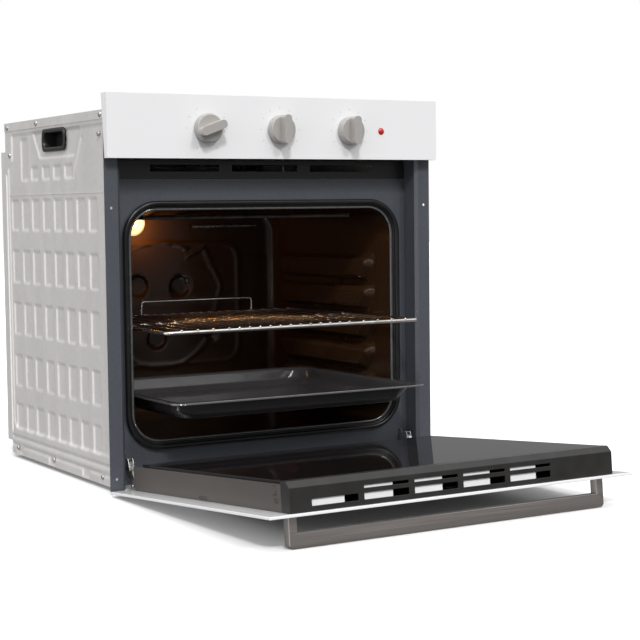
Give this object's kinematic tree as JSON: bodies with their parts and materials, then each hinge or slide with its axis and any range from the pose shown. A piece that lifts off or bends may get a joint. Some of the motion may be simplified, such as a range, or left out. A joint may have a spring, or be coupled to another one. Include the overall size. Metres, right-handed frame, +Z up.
{
  "type": "built-in wall oven",
  "caption": "Built-in electric wall oven with a drop-down glass door let down to its stop, round control knobs, a drawn-out wire shelf and baking tray.",
  "frame": {"origin": "on the underside of the base, on the centre line, in the plane of the cabinet front", "axes": "+X to the right seen from the front, +Y into the cabinet, +Z up"},
  "size_m": [0.595, 1.0356, 0.6086],
  "materials": {
    "galvanised": "zinc-coated sheet, soft spangle",
    "frame_enamel": "semi-gloss blue-grey enamel",
    "dark_enamel": "satin black enamel",
    "cavity_enamel": "gloss vitreous enamel, fine speckle",
    "tray_enamel": "gloss vitreous enamel",
    "white_enamel": "gloss white enamel",
    "channel_paint": "satin taupe-grey paint",
    "knob_plastic": "satin metallic grey",
    "black_plastic": "fine grain",
    "gasket_rubber": "matte",
    "chrome": "bright plated wire",
    "steel": "zinc-plated pressed steel",
    "element_steel": "heat-darkened sheath",
    "aluminium": "mill",
    "handle_metal": "warm brushed",
    "white_glass": "white-backed float glass with a clear window",
    "dark_glass": "dark reflective heat-screening glass",
    "red_lens": "translucent",
    "lamp_glass": "clear moulded",
    "lamp_glow": "lit warm filament bulb",
    "wool": "glass-wool blanket",
    "ceramic": "matte steatite"
  },
  "bodies": {
    "cabinet": {"side_panel_left": "galvanised", "side_panel_right": "galvanised", "top_cover": "galvanised", "base_panel": "galvanised", "rear_panel": "galvanised", "rear_cover": "galvanised", "terminal_block": "ceramic", "terminal_cover": "black_plastic", "carry_grip_left": "black_plastic", "carry_grip_right": "black_plastic", "front_column_left": "frame_enamel", "front_column_right": "frame_enamel", "face_plate": "frame_enamel", "air_outlet_grille": "dark_enamel", "door_gasket": "gasket_rubber", "cavity_floor": "cavity_enamel", "cavity_roof": "cavity_enamel", "cavity_wall_left": "cavity_enamel", "cavity_wall_right": "cavity_enamel", "cavity_back": "cavity_enamel", "insulation_blanket": "wool", "upper_element": "element_steel", "lower_element": "element_steel", "lamp_holder": "ceramic", "lamp_lens": "lamp_glass", "lamp_bulb": "lamp_glow", "thermostat_probe": "steel", "partition_plate": "galvanised", "air_duct": "galvanised", "fan_housing": "galvanised", "fan_motor": "steel", "control_fascia": "white_enamel", "switch_bracket": "galvanised", "selector_switch": "ceramic", "timer_unit": "black_plastic", "thermostat_body": "steel", "pilot_lamp": "red_lens", "hinge_receiver_left": "galvanised", "hinge_receiver_right": "galvanised", "hinge_arm_left": "steel", "hinge_arm_right": "steel"},
    "door": {"outer_glass": "white_glass", "inner_glass": "dark_glass", "door_channel_left": "channel_paint", "door_channel_right": "channel_paint", "door_top_trim": "black_plastic", "door_bottom_rail": "dark_enamel", "hinge_case_left": "steel", "hinge_case_right": "steel", "handle_bar": "handle_metal", "handle_post_left": "handle_metal", "handle_post_right": "handle_metal"},
    "shelf": {"shelf_rack": "chrome"},
    "tray": {"baking_tray": "tray_enamel"},
    "selector": {"selector_knob": "knob_plastic"},
    "timer": {"timer_knob": "knob_plastic"},
    "thermostat": {"thermostat_knob": "knob_plastic"},
    "fan": {"fan_impeller": "aluminium"},
    "clip_left": {"hinge_clip_left": "steel"},
    "clip_right": {"hinge_clip_right": "steel"}
  },
  "joints": [
    {"name": "door_swing", "type": "hinge", "parent": "cabinet", "child": "door", "pos_m": [0, -0.0105, 0.0065], "axis": [1, 0, 0], "range_deg": [-85.2, 0]},
    {"name": "shelf_slide", "type": "slide", "parent": "cabinet", "child": "shelf", "axis": [0, -1, 0], "range_m": [-0.1035, 0]},
    {"name": "tray_slide", "type": "slide", "parent": "cabinet", "child": "tray", "axis": [0, -1, 0], "range_m": [-0.1285, 0]},
    {"name": "selector_turn", "type": "hinge", "parent": "cabinet", "child": "selector", "pos_m": [-0.131, -0.02, 0.5506], "axis": [0, 1, 0], "continuous": true},
    {"name": "timer_turn", "type": "hinge", "parent": "cabinet", "child": "timer", "pos_m": [-0.002, -0.02, 0.5506], "axis": [0, 1, 0], "range_deg": [0, 330]},
    {"name": "thermostat_turn", "type": "hinge", "parent": "cabinet", "child": "thermostat", "pos_m": [0.127, -0.02, 0.5506], "axis": [0, 1, 0], "range_deg": [0, 300]},
    {"name": "fan_spin", "type": "hinge", "parent": "cabinet", "child": "fan", "pos_m": [-0.01, 0.33, 0.516], "axis": [1, 0, 0], "continuous": true},
    {"name": "clip_left_flip", "type": "hinge", "parent": "cabinet", "child": "clip_left", "pos_m": [-0.257, 0.008, 0.03], "axis": [1, 0, 0], "range_deg": [0, 100]},
    {"name": "clip_right_flip", "type": "hinge", "parent": "cabinet", "child": "clip_right", "pos_m": [0.257, 0.008, 0.03], "axis": [1, 0, 0], "range_deg": [0, 100]}
  ],
  "couplings": [
    {"joint": "shelf_slide", "follows": "door_swing", "m_per_rad": 0.069266},
    {"joint": "tray_slide", "follows": "door_swing", "m_per_rad": 0.086079}
  ]
}
